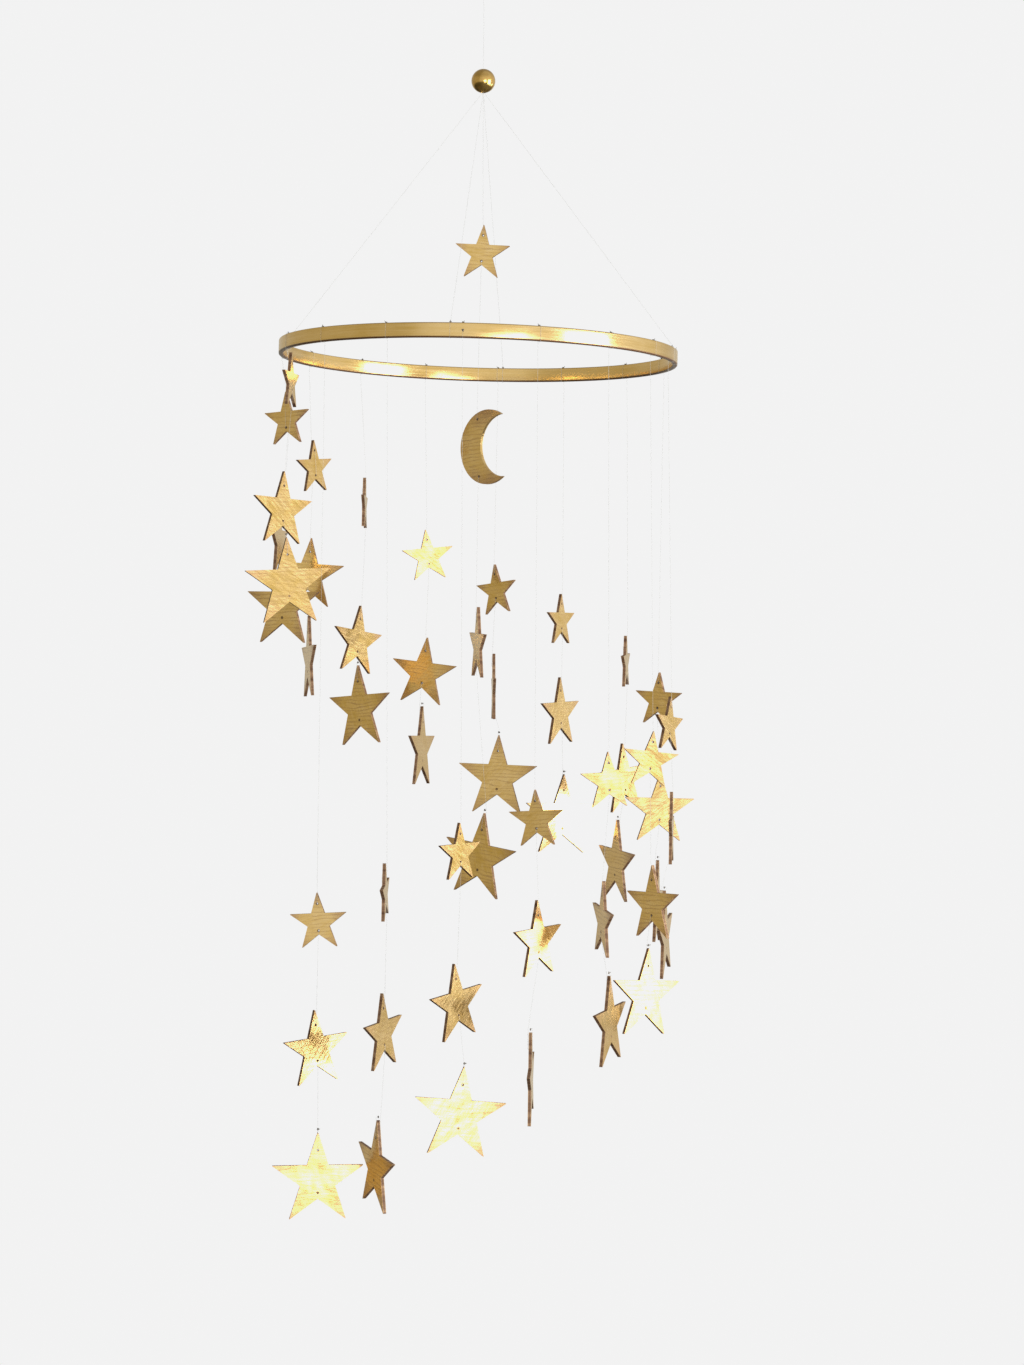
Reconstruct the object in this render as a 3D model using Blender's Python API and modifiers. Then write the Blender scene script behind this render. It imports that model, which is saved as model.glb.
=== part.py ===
# A hanging mobile: a thin hoop held under a bead, and lines of flat stars that fall from it in a spiral.
# The origin is the top of the hanging loop, +Z is up, and the mobile is seen from the -Y side.

import math

import bmesh
import bpy
from mathutils import Matrix, Vector

MM = 0.001

# Hoop
HOOP_DIAMETER = 250 * MM
HOOP_HEIGHT = 9 * MM
HOOP_WALL = 3 * MM
HOOP_EDGE_ROUND = 0.8 * MM
HOOP_ASIDE = -2 * MM
HOOP_TILT = math.radians(1.25)
HOOP_STEPS = 72
DRILLED_LINE = 14

# Stars and moon, cut from thin plywood
PLY = 2 * MM
SMALL_STAR = 18.4 * MM
MEDIUM_STAR = 24.5 * MM
LARGE_STAR = 29 * MM
NOTCH_SHARE = math.sin(math.radians(18)) / math.sin(math.radians(54))
TOP_HOLE_SHARE = 0.62
LOW_HOLE_SHARE = 0.26
THREAD_HOLE = 1.2 * MM
HOLE_SIDES = 6
MOON_OUTER = 23.4 * MM
MOON_INNER = 19.5 * MM
MOON_SHIFT = 13.6 * MM
MOON_HOLE_RISE = 18 * MM
MOON_HOLE_ASIDE = -7.8 * MM
MOON_ARC_POINTS = 15

# Bead and threads
BEAD = 15 * MM
BEAD_BORE = 3 * MM
BEAD_ARC_STEPS = 12
BEAD_TURN_STEPS = 24
THREAD = 0.35 * MM
THREAD_RING = 0.8 * MM
LOOP_LENGTH = 16 * MM
LOOP_WIDTH = 8 * MM
LOOP_TO_BEAD = 56 * MM
BEAD_TO_HOOP = 171.5 * MM
SUSPENSION_THREADS = 4
SUSPENSION_START = math.radians(-97)
CLEARANCE = 0.3 * MM
BEND = 0.35 * MM
TIE_RISE = 1.5 * MM

# Each line: its angle round the hoop in degrees, then for its small, medium and large star the drop below
# the hoop and the shift to the right in READING, and the turn and the lean in degrees.
READING = 1 * MM
STAR_LINES = (
    (-160, (22.5, 1.5, 80, 0), (101.5, -3, 46, -2), (146.5, 1, 22, 3)),
    (173, (41, 1.5, -34, 2), (118, -3, 83, 0), (158.5, 0, -31, -1)),
    (151.5, (68, 2, 55, 5), (137.5, -1, -13, -4), (192.5, -0.5, -78, 1.5)),
    (129, (89.5, 2, 89, -0.5), (180, -2, 52, -6.5), (224, 0, -42, 4)),
    (107, (122.5, 2, 15, 6), (200.5, -0.5, -22, -6.5), (251, -1.5, 75, -1)),
    (84.5, (145, 0, -43, 5.5), (211, -1.5, -88, 0), (270, 1.5, -18, -1.5)),
    (63.5, (165, -0.5, 60, 0.5), (226.5, -0.5, 58, 2), (295.5, 1.5, 28, -2)),
    (39.5, (193, 1.5, 81, 3.5), (269.5, 1, 48, 5.5), (324, -3.5, -68, -3.5)),
    (18.5, (217, -0.5, -36, -2.5), (287, 0.5, 15, -1.5), (348, -0.5, 81, -3)),
    (-14.5, (232, 0, 60, -5), (297, 2, 85, 1.5), (362, -1.5, 79, 7.5)),
    (-30, (253, 0, 15, -6), (340.5, 2, -52, 0.5), (395.5, -2, 42, -4)),
    (-49.5, (265, 0.5, 15, 2.5), (348, -2.5, -78, -5), (409, 2, 69, 3.5)),
    (-72.5, (287, 0.5, -24, 3.5), (358, 1.5, 54, 2.5), (439.5, -2, 87, 9.5)),
    (-93.5, (306.5, 0, 49, 2), (395, -1, 51, 7), (460, 1, 13, -5.5)),
    (-115.5, (331, 1.5, 86, 9), (414, 1, 65, 4), (493, -2.5, -66, -6)),
    (-138.5, (351, 0, -10, 3.5), (427.5, -1, 39, 4), (505.5, 0.5, 8, 0)),
)
# The same readings for the line in the middle, where the first star hangs above the hoop
CENTRE_SMALL_STAR = (-63, 0, -8, -3.5)
CENTRE_MOON = (59, -1, -44, 2.5)
CENTRE_MEDIUM_STAR = (183, -1, -78, -2.5)
CENTRE_LARGE_STAR = (316.5, 1, -37, -7.5)

THREAD_RADIUS = THREAD / 2
BEAD_CENTRE = Vector((0, 0, -LOOP_LENGTH - LOOP_TO_BEAD))
HOOP_CENTRE = BEAD_CENTRE + Vector((HOOP_ASIDE, 0, -BEAD_TO_HOOP))
HOOP_MATRIX = Matrix.Translation(HOOP_CENTRE) @ Matrix.Rotation(HOOP_TILT, 4, "Y")
LINE_RADIUS = (HOOP_DIAMETER - HOOP_WALL) / 2
STAND_OFF = PLY / 2 + CLEARANCE + THREAD_RADIUS

GOLD = (0.62, 0.44, 0.16, 1)
NYLON = (0.9, 0.92, 0.93, 1)


def clear_scene():
    for obj in list(bpy.data.objects):
        bpy.data.objects.remove(obj)


def new_collection(name):
    collection = bpy.data.collections.new(name)
    bpy.context.scene.collection.children.link(collection)
    return collection


def new_material(name, colour, roughness, metallic):
    material = bpy.data.materials.new(name)
    material.use_nodes = True
    shader = material.node_tree.nodes["Principled BSDF"]
    shader.inputs["Base Color"].default_value = colour
    shader.inputs["Roughness"].default_value = roughness
    shader.inputs["Metallic"].default_value = metallic
    return material


def new_object(name, data, material, collection):
    obj = bpy.data.objects.new(name, data)
    if material:
        data.materials.append(material)
    collection.objects.link(obj)
    return obj


# Flat outlines: closed loops of points in a plane, given half the ply as their extrusion

def add_loop(curve, points):
    spline = curve.splines.new("POLY")
    spline.points.add(len(points) - 1)
    for point, (x, y) in zip(spline.points, points):
        point.co = (x, y, 0, 1)
    spline.use_cyclic_u = True


def polygon(centre_x, centre_y, radius, sides):
    turns = (2 * math.pi * i / sides for i in range(sides))
    return [(centre_x + radius * math.cos(a), centre_y + radius * math.sin(a)) for a in turns]


def flat_plate(name, outline, holes, material):
    curve = bpy.data.curves.new(name, "CURVE")
    curve.dimensions = "2D"
    curve.fill_mode = "BOTH"
    curve.extrude = PLY / 2
    add_loop(curve, outline)
    for x, y in holes:
        add_loop(curve, polygon(x, y, THREAD_HOLE / 2, HOLE_SIDES))
    curve.materials.append(material)
    return curve


def star_outline(radius):
    points = []
    for i in range(10):
        reach = radius if i % 2 == 0 else radius * NOTCH_SHARE
        angle = math.radians(90 + 36 * i)
        points.append((reach * math.cos(angle), reach * math.sin(angle)))
    return points


def star_holes(radius, low_hole):
    holes = [(0, radius * TOP_HOLE_SHARE)]
    if low_hole:
        holes.append((0, -radius * LOW_HOLE_SHARE))
    return holes


def moon_outline():
    """Two arcs that meet at the horns: the outer edge, and the inner one cut out of it to the right."""
    horn_x = (MOON_OUTER**2 - MOON_INNER**2 + MOON_SHIFT**2) / (2 * MOON_SHIFT)
    horn_y = math.sqrt(MOON_OUTER**2 - horn_x**2)
    outer = math.atan2(horn_y, horn_x)
    inner = math.atan2(horn_y, horn_x - MOON_SHIFT)
    points = []
    for i in range(2 * MOON_ARC_POINTS):
        angle = outer + (2 * math.pi - 2 * outer) * i / (2 * MOON_ARC_POINTS)
        points.append((MOON_OUTER * math.cos(angle), MOON_OUTER * math.sin(angle)))
    for i in range(MOON_ARC_POINTS):
        angle = 2 * math.pi - inner - (2 * math.pi - 2 * inner) * i / MOON_ARC_POINTS
        points.append((MOON_SHIFT + MOON_INNER * math.cos(angle), MOON_INNER * math.sin(angle)))
    return points


def moon_holes():
    return [(MOON_HOLE_ASIDE, MOON_HOLE_RISE), (MOON_HOLE_ASIDE, -MOON_HOLE_RISE)]


def plate_matrix(line_x, line_y, reading, hang_aside=0):
    """Stands a flat outline up, turned and leaned as read, with its hanging side at the line."""
    drop, aside, turn, lean = reading
    upright = Matrix.Rotation(math.radians(turn), 4, "Z") @ Matrix.Rotation(math.pi / 2, 4, "X")
    turned = upright @ Matrix.Rotation(math.radians(lean), 4, "Z")
    place = Vector((line_x + aside * READING, line_y, HOOP_CENTRE.z - drop * READING))
    return Matrix.Translation(place) @ turned @ Matrix.Translation((-hang_aside, 0, 0))


def hang_plate(name, curve, matrix, collection):
    obj = bpy.data.objects.new(name, curve)
    obj.matrix_world = matrix
    collection.objects.link(obj)
    return obj


# Turned pieces: a closed profile, run down its outer side, and a Screw round the Z axis

def turned_mesh(name, profile, steps, material, collection):
    mesh = bpy.data.meshes.new(name)
    edges = [(i, (i + 1) % len(profile)) for i in range(len(profile))]
    mesh.from_pydata([(x, 0, z) for x, z in profile], edges, [])
    obj = new_object(name, mesh, material, collection)
    screw = obj.modifiers.new("turn", "SCREW")
    screw.steps = steps
    screw.render_steps = steps
    screw.use_merge_vertices = True
    screw.merge_threshold = 0.00001
    screw.use_normal_calculate = False
    return obj


def make_hoop(material, collection, cutters):
    outer = HOOP_DIAMETER / 2
    inner = outer - HOOP_WALL
    half = HOOP_HEIGHT / 2
    profile = [(outer, half), (outer, -half), (inner, -half), (inner, half)]
    hoop = turned_mesh("hoop", profile, HOOP_STEPS, material, collection)
    hoop.matrix_world = HOOP_MATRIX
    bevel = hoop.modifiers.new("rounded edges", "BEVEL")
    bevel.width = HOOP_EDGE_ROUND
    bevel.segments = 2
    bevel.limit_method = "ANGLE"
    bevel.angle_limit = math.radians(60)
    drill = hoop.modifiers.new("thread hole", "BOOLEAN")
    drill.operation = "DIFFERENCE"
    drill.solver = "EXACT"
    drill.object = hoop_drill(cutters)
    return hoop


def hoop_drill(cutters):
    """The one line whose thread goes through the hoop has a radial hole there. The others are tied round it."""
    around = Matrix.Rotation(math.radians(STAR_LINES[DRILLED_LINE - 1][0]), 4, "Z")
    shape = bmesh.new()
    bmesh.ops.create_cone(
        shape,
        cap_ends=True,
        segments=HOLE_SIDES,
        radius1=THREAD_HOLE / 2,
        radius2=THREAD_HOLE / 2,
        depth=3 * HOOP_WALL,
        matrix=around @ Matrix.Translation((LINE_RADIUS, 0, 0)) @ Matrix.Rotation(math.pi / 2, 4, "Y"),
    )
    mesh = bpy.data.meshes.new("hoop drill")
    shape.to_mesh(mesh)
    shape.free()
    drill = new_object("hoop drill", mesh, None, cutters)
    drill.matrix_world = HOOP_MATRIX
    drill.hide_render = True
    drill.display_type = "WIRE"
    return drill


def make_bead(material, collection):
    radius = BEAD / 2
    rim = math.asin(BEAD_BORE / BEAD)
    profile = []
    for i in range(BEAD_ARC_STEPS + 1):
        angle = rim + (math.pi - 2 * rim) * i / BEAD_ARC_STEPS
        profile.append((radius * math.sin(angle), radius * math.cos(angle)))
    bead = turned_mesh("bead", profile, BEAD_TURN_STEPS, material, collection)
    bead.location = BEAD_CENTRE
    return bead


# Threads

def bent_route(corners, bend):
    """The corners joined up, with a short arc in place of each bend."""
    points = [corners[0]]
    for before, corner, after in zip(corners, corners[1:], corners[2:]):
        into = (before - corner).normalized()
        out = (after - corner).normalized()
        if into.angle(-out) < math.radians(12):
            points.append(corner)
            continue
        start = corner + into * bend
        end = corner + out * bend
        points.extend([start, (start + end + 2 * corner) / 4, end])
    points.append(corners[-1])
    return points


def thread_tube(name, points, material, collection):
    curve = bpy.data.curves.new(name, "CURVE")
    curve.dimensions = "3D"
    curve.bevel_depth = THREAD_RADIUS
    curve.bevel_resolution = 2
    curve.use_fill_caps = True
    spline = curve.splines.new("POLY")
    spline.points.add(len(points) - 1)
    for point, place in zip(spline.points, points):
        point.co = (*place, 1)
    return new_object(name, curve, material, collection)


def hole_crossing(matrix, hole, from_side):
    """The two bends where a thread crosses a plate at a hole, from one face to the other."""
    x, y = hole
    side = STAND_OFF * from_side
    return [matrix @ Vector((x, y, side)), matrix @ Vector((x, y, -side))]


def laced(matrix, holes):
    """Through the top hole from the front, down the back and out to the front at the low hole."""
    return hole_crossing(matrix, holes[0], 1) + hole_crossing(matrix, holes[1], -1)


def tied(matrix, radius):
    """Down the back to the top hole, through it, and up the front to the tie above the tip."""
    back, front = hole_crossing(matrix, (0, radius * TOP_HOLE_SHARE), -1)
    tie_height = radius + TIE_RISE
    above = matrix @ Vector((0, tie_height, -STAND_OFF))
    end = matrix @ Vector((0, tie_height, STAND_OFF - CLEARANCE))
    return [above, back, front, end]


def make_centre_thread(material, collection, plates):
    corners = [BEAD_CENTRE - Vector((0, 0, CLEARANCE))]
    corners.append(BEAD_CENTRE - Vector((0, 0, BEAD)))
    for matrix, holes in plates[:-1]:
        corners.extend(laced(matrix, holes))
    corners.extend(tied(plates[-1][0], LARGE_STAR))
    return thread_tube("centre_thread", bent_route(corners, BEND), material, collection)


def make_suspension_threads(material, collection):
    top = HOOP_HEIGHT / 2 + CLEARANCE + THREAD_RADIUS
    for i in range(SUSPENSION_THREADS):
        angle = SUSPENSION_START + 2 * math.pi * i / SUSPENSION_THREADS
        outward = Vector((math.cos(angle), math.sin(angle), 0))
        in_bore = BEAD_CENTRE + outward * THREAD_RING
        below = in_bore - Vector((0, 0, BEAD / 2 + CLEARANCE))
        hoop_point = HOOP_MATRIX @ (outward * LINE_RADIUS + Vector((0, 0, top)))
        corners = [in_bore, below, hoop_point]
        name = f"suspension_thread_{i + 1}"
        thread_tube(name, bent_route(corners, BEND), material, collection)


def make_hanging_loop(material, collection):
    """A drop-shaped loop and, from its knot, the thread down into the bead."""
    knot = Vector((0, 0, -LOOP_LENGTH))
    start = knot + Vector((2 * THREAD, 0, THREAD))
    half = LOOP_WIDTH / 2
    points = [start]
    for i in range(9):
        angle = math.pi * i / 8
        points.append(Vector((half * math.cos(angle), 0, THREAD_RADIUS - half + half * math.sin(angle))))
    points.append(knot)
    points.append(BEAD_CENTRE + Vector((0, 0, CLEARANCE)))
    return thread_tube("hanging_loop", points, material, collection)


def main():
    clear_scene()
    parts = new_collection("hanging mobile")
    cutters = new_collection("cutters")
    star_gold = new_material("gold painted ply", GOLD, 0.35, 0.8)
    moon_gold = new_material("gold painted ply moon", GOLD, 0.35, 0.8)
    hoop_gold = new_material("gold painted hoop", GOLD, 0.3, 0.8)
    bead_gold = new_material("gold lacquered bead", GOLD, 0.2, 0.9)
    clear_nylon = new_material("clear nylon", NYLON, 0.1, 0)

    make_hoop(hoop_gold, parts, cutters)
    make_bead(bead_gold, parts)

    sizes = (("small", SMALL_STAR, True), ("medium", MEDIUM_STAR, True), ("large", LARGE_STAR, False))
    outlines = {}
    for label, radius, low_hole in sizes:
        holes = star_holes(radius, low_hole)
        outlines[label] = flat_plate(f"{label} star", star_outline(radius), holes, star_gold)

    for number, (angle, *readings) in enumerate(STAR_LINES, 1):
        line_x = HOOP_CENTRE.x + LINE_RADIUS * math.cos(math.radians(angle))
        line_y = HOOP_CENTRE.y + LINE_RADIUS * math.sin(math.radians(angle))
        for (label, *_), reading in zip(sizes, readings):
            matrix = plate_matrix(line_x, line_y, reading)
            hang_plate(f"line_{number:02d}_{label}_star", outlines[label], matrix, parts)

    moon = flat_plate("moon", moon_outline(), moon_holes(), moon_gold)
    small = plate_matrix(0, 0, CENTRE_SMALL_STAR)
    crescent = plate_matrix(0, 0, CENTRE_MOON, MOON_HOLE_ASIDE)
    medium = plate_matrix(0, 0, CENTRE_MEDIUM_STAR)
    large = plate_matrix(0, 0, CENTRE_LARGE_STAR)
    hang_plate("centre_small_star", outlines["small"], small, parts)
    hang_plate("moon", moon, crescent, parts)
    hang_plate("centre_medium_star", outlines["medium"], medium, parts)
    hang_plate("centre_large_star", outlines["large"], large, parts)

    plates = (
        (small, star_holes(SMALL_STAR, True)),
        (crescent, moon_holes()),
        (medium, star_holes(MEDIUM_STAR, True)),
        (large, star_holes(LARGE_STAR, False)),
    )
    make_centre_thread(clear_nylon, parts, plates)
    make_suspension_threads(clear_nylon, parts)
    make_hanging_loop(clear_nylon, parts)


main()
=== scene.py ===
import math

import bpy
from mathutils import Matrix, Quaternion, Vector


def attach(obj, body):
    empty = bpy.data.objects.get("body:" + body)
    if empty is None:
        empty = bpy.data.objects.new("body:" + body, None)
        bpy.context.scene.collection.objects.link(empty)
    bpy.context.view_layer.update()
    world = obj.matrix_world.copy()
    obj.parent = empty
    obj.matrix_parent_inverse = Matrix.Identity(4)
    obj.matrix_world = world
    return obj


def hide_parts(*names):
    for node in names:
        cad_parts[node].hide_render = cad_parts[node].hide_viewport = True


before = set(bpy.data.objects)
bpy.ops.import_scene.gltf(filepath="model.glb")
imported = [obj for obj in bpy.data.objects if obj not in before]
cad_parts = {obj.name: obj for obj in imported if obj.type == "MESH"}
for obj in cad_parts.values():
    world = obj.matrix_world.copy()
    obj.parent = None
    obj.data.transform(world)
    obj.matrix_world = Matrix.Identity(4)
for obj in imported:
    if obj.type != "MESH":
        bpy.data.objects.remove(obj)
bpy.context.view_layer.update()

print("mobile: frame loaded,", len(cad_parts), "nodes")

mm = 0.001
scene = bpy.context.scene

# Camera, light and floor

cameraView = {
    "lens": 77.8,
    "sensor": 36,
    "place": (0.0206, -1.8525, -0.4496),
    "lean": 0.4,  # degrees, the photo's own lean
    "near": 0.05,
    "far": 60,
}


def placeCamera():
    data = bpy.data.cameras.new("photo camera")
    data.lens = cameraView["lens"]
    data.sensor_width = cameraView["sensor"]
    data.clip_start = cameraView["near"]
    data.clip_end = cameraView["far"]
    camera = bpy.data.objects.new("photo camera", data)
    level = Matrix.Rotation(math.pi / 2, 4, "X") @ Matrix.Rotation(math.radians(cameraView["lean"]), 4, "Z")
    camera.matrix_world = Matrix.Translation(cameraView["place"]) @ level
    scene.collection.objects.link(camera)
    scene.camera = camera


placeCamera()
print("mobile: camera placed")

studio = {
    "wall": 0.89,  # brightness behind the mobile
    "middle": (0, 0, -0.42),
    "tint": (1, 0.99, 0.975),
    "floorDrop": 4.2,
    "floorRadius": 9,
    "floorSides": 96,
}
panes = {
    "pane front": {"place": (0.855, -2.6, -0.63), "size": (1.13, 0.96), "power": 22, "lean": 22},
    "pane side": {"place": (1.56, -0.8, -0.5), "size": (0.88, 1.2), "power": 29, "lean": 0},
    "pane low": {"place": (1.49, -0.24, -0.8), "size": (0.28, 0.46), "power": 2.6, "lean": 0},
    "pane end": {"place": (1.5, 0.46, -0.7), "size": (0.32, 0.42), "power": 2.3, "lean": 0},
}
# Where the room's light fades: from one height or side to another, and the share of it at each
fades = {
    "floor": (-0.38, -0.2, 0.12, 1),
    "ceiling": (0.35, 0.75, 1, 0.6),
    "left": (-0.55, 0.05, 0.04, 1),
}
# Light all round the mobile, by degrees from the camera's side toward the window
roomRound = (
    (-180, (0.58, 0.55, 0.48)),
    (-100, (0.56, 0.52, 0.4)),
    (-42, (0.6, 0.56, 0.43)),
    (-26, (0.86, 0.86, 0.84)),
    (0, (0.95, 0.95, 0.95)),
    (90, (0.9, 0.9, 0.9)),
    (122, (0.82, 0.82, 0.8)),
    (132, (0.62, 0.6, 0.55)),
    (180, (0.58, 0.55, 0.48)),
)


def softBox(name, settings):
    data = bpy.data.lights.new(name, "AREA")
    data.shape = "RECTANGLE"
    data.size, data.size_y = settings["size"]
    data.energy = settings["power"]
    data.color = studio["tint"]
    light = bpy.data.objects.new(name, data)
    light.location = settings["place"]
    aim = Vector(studio["middle"]) - light.location
    lean = Quaternion((0, 0, 1), math.radians(settings["lean"]))
    light.rotation_euler = (aim.to_track_quat("-Z", "Y") @ lean).to_euler()
    light.visible_camera = False
    scene.collection.objects.link(light)


# One way to make nodes, for materials and for Geometry Nodes, and arithmetic on their sockets

class Wire:
    def __init__(self, maker, socket):
        self.maker, self.socket = maker, socket

    def join(self, operation, first, second):
        return self.maker.node("ShaderNodeMath", {"operation": operation}, {0: first, 1: second})

    def __add__(self, other):
        return self.join("ADD", self, other)

    def __sub__(self, other):
        return self.join("SUBTRACT", self, other)

    def __rsub__(self, other):
        return self.join("SUBTRACT", other, self)

    def __mul__(self, other):
        return self.join("MULTIPLY", self, other)

    def __truediv__(self, other):
        return self.join("DIVIDE", self, other)


class Maker:
    def __init__(self, tree):
        self.tree = tree

    def node(self, kind, settings=None, sockets=None, out=0):
        made = self.tree.nodes.new(kind)
        for key, value in (settings or {}).items():
            if key == "stops":
                self.setStops(made.color_ramp, value)
            else:
                setattr(made, key, value)
        for key, value in (sockets or {}).items():
            self.feed(made.inputs[key], value)
        return Wire(self, made.outputs[out])

    def feed(self, socket, value):
        if isinstance(value, Wire):
            self.tree.links.new(value.socket, socket)
        elif isinstance(value, (list, tuple)) and value and isinstance(value[0], Wire):
            for part in value:
                self.tree.links.new(part.socket, socket)
        else:
            socket.default_value = value

    def setStops(self, ramp, stops):
        while len(ramp.elements) < len(stops):
            ramp.elements.new(1)
        for element, (place, colour) in zip(ramp.elements, stops):
            element.position = place
            element.color = (*colour, 1)

    def apart(self, vector):
        split = self.node("ShaderNodeSeparateXYZ", {}, {0: vector}).socket.node
        return [Wire(self, output) for output in split.outputs]

    def together(self, x, y, z):
        return self.node("ShaderNodeCombineXYZ", {}, {0: x, 1: y, 2: z})

    def function(self, name, value):
        return self.node("ShaderNodeMath", {"operation": name}, {0: value})

    def span(self, value, low, high, toLow=0.0, toHigh=1.0):
        sockets = {"Value": value, 1: low, 2: high, 3: toLow, 4: toHigh}
        return self.node("ShaderNodeMapRange", {"clamp": True}, sockets)

    def mixed(self, share, first, second):
        return self.node("ShaderNodeMix", {"data_type": "RGBA"}, {0: share, 6: first, 7: second}, 2)


class Finish(Maker):
    def __init__(self, name, **fixed):
        self.material = bpy.data.materials.new(name)
        self.material.use_nodes = True
        super().__init__(self.material.node_tree)
        self.shader = self.tree.nodes["Principled BSDF"]
        for socket, value in fixed.items():
            self.shader.inputs[socket.replace("_", " ")].default_value = value

    def attribute(self, name, out=1):
        return self.node("ShaderNodeAttribute", {"attribute_name": name}, {}, out)

    def noise(self, vector, scale, detail=3, roughness=0.5, distortion=0.0):
        sockets = {"Vector": vector, "Scale": scale, "Detail": detail, "Roughness": roughness}
        sockets["Distortion"] = distortion
        return self.node("ShaderNodeTexNoise", {}, sockets)

    def ramp(self, value, *stops):
        return self.node("ShaderNodeValToRGB", {"stops": stops}, {0: value})

    def reach(self, x, y):
        return self.function("SQRT", x * x + y * y)

    def stretched(self, vector, scale):
        return self.node("ShaderNodeMapping", {}, {"Vector": vector, "Scale": scale})

    def bump(self, height, depth, strength=1.0, under=None):
        sockets = {"Height": height, "Distance": depth, "Strength": strength}
        if under is not None:
            sockets["Normal"] = under
        return self.node("ShaderNodeBump", {}, sockets)

    def finish(self, **varying):
        for socket, wire in varying.items():
            self.feed(self.shader.inputs[socket.replace("_", " ")], wire)
        return self.material


def lightStudio():
    world = bpy.data.worlds.new("studio")
    world.use_nodes = True
    scene.world = world
    sky = Maker(world.node_tree)
    background = world.node_tree.nodes["Background"]
    direction = sky.node("ShaderNodeTexCoord", {}, {}, 0)
    across, away, up = sky.apart(direction)
    turn = sky.node("ShaderNodeMath", {"operation": "ARCTAN2"}, {0: across, 1: away * -1})
    stops = [((angle + 180) / 360, colour) for angle, colour in roomRound]
    around = sky.node("ShaderNodeValToRGB", {"stops": stops}, {0: turn / (2 * math.pi) + 0.5})
    darkFloor = sky.span(up, *fades["floor"])
    dimCeiling = sky.span(up, *fades["ceiling"])
    farSide = sky.span(across + away * -0.15 + up * 0.6, *fades["left"])  # more so behind and below
    seen = sky.node("ShaderNodeLightPath", {}, {}, 0)  # by the camera
    scattered = sky.node("ShaderNodeLightPath", {}, {}, 2)  # by a matt surface
    shade = 1 - scattered * (1 - farSide)  # only matt surfaces, as the cut edges, go dark on the left
    wall = (studio["wall"],) * 3 + (1,)
    sky.feed(background.inputs["Color"], sky.mixed(seen, around, wall))
    sky.feed(background.inputs["Strength"], seen + (1 - seen) * darkFloor * dimCeiling * shade)
    for name, settings in panes.items():
        softBox(name, settings)
    view = scene.view_settings
    view.view_transform = "Standard"
    view.use_curve_mapping = True
    view.curve_mapping.extend = "HORIZONTAL"
    # The photo's whites end at the brightness of its wall
    view.curve_mapping.curves[3].points[1].location = (studio["wall"],) * 2
    view.curve_mapping.update()


def palePaint():
    paint = Finish("pale floor", Roughness=0.9)
    spot = paint.node("ShaderNodeTexCoord", {}, {}, 3)
    shade = paint.noise(spot, 2, 2)
    return paint.finish(Base_Color=paint.ramp(shade, (0, (0.93, 0.93, 0.92)), (1, (0.96, 0.96, 0.95))))


def layFloor():
    mesh = bpy.data.meshes.new("pale floor")
    sides = studio["floorSides"]
    turns = [2 * math.pi * i / sides for i in range(sides)]
    reach = studio["floorRadius"]
    rim = [(reach * math.cos(a), reach * math.sin(a), -studio["floorDrop"]) for a in turns]
    mesh.from_pydata(rim, [], [list(range(sides))])
    mesh.materials.append(palePaint())
    floor = bpy.data.objects.new("pale floor", mesh)
    scene.collection.objects.link(floor)
    # The mobile hangs high up: the floor neither lights it nor shows in it
    floor.visible_diffuse = False
    floor.visible_glossy = False


lightStudio()
layFloor()
print("mobile: studio lit")

# Finishes

goldPaint = {
    "bright": (0.8, 0.585, 0.275),
    "usual": (0.74, 0.51, 0.2),
    "deep": (0.63, 0.41, 0.105),
    "bare": (0.4, 0.215, 0.105),  # wood that shows through at the tips
    "thin": (0.42, 0.3, 0.15),
    "vein": (0.38, 0.21, 0.07),
    "scorch": (0.1, 0.045, 0.018),
    "metal": 0.9,
    "warp": 0.36 * mm,
    "strokeDepth": 0.014 * mm,
    "grainDepth": 0.002 * mm,
    "grainSpacing": 2.4 * mm,
    "oneBand": 0.314,  # scale at which the band texture has one band a metre
    "sway": 1.2,  # radians that the brush may turn either way
    "shift": (3.1, 1.7),  # metres, at most, between two plates' patterns
    "strokeWaves": (110, 780, 1),  # a metre, along and across
    "fibreWaves": (150, 2600, 1),
    "patchWaves": 95,
    "warpWaves": 62,
}


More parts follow.
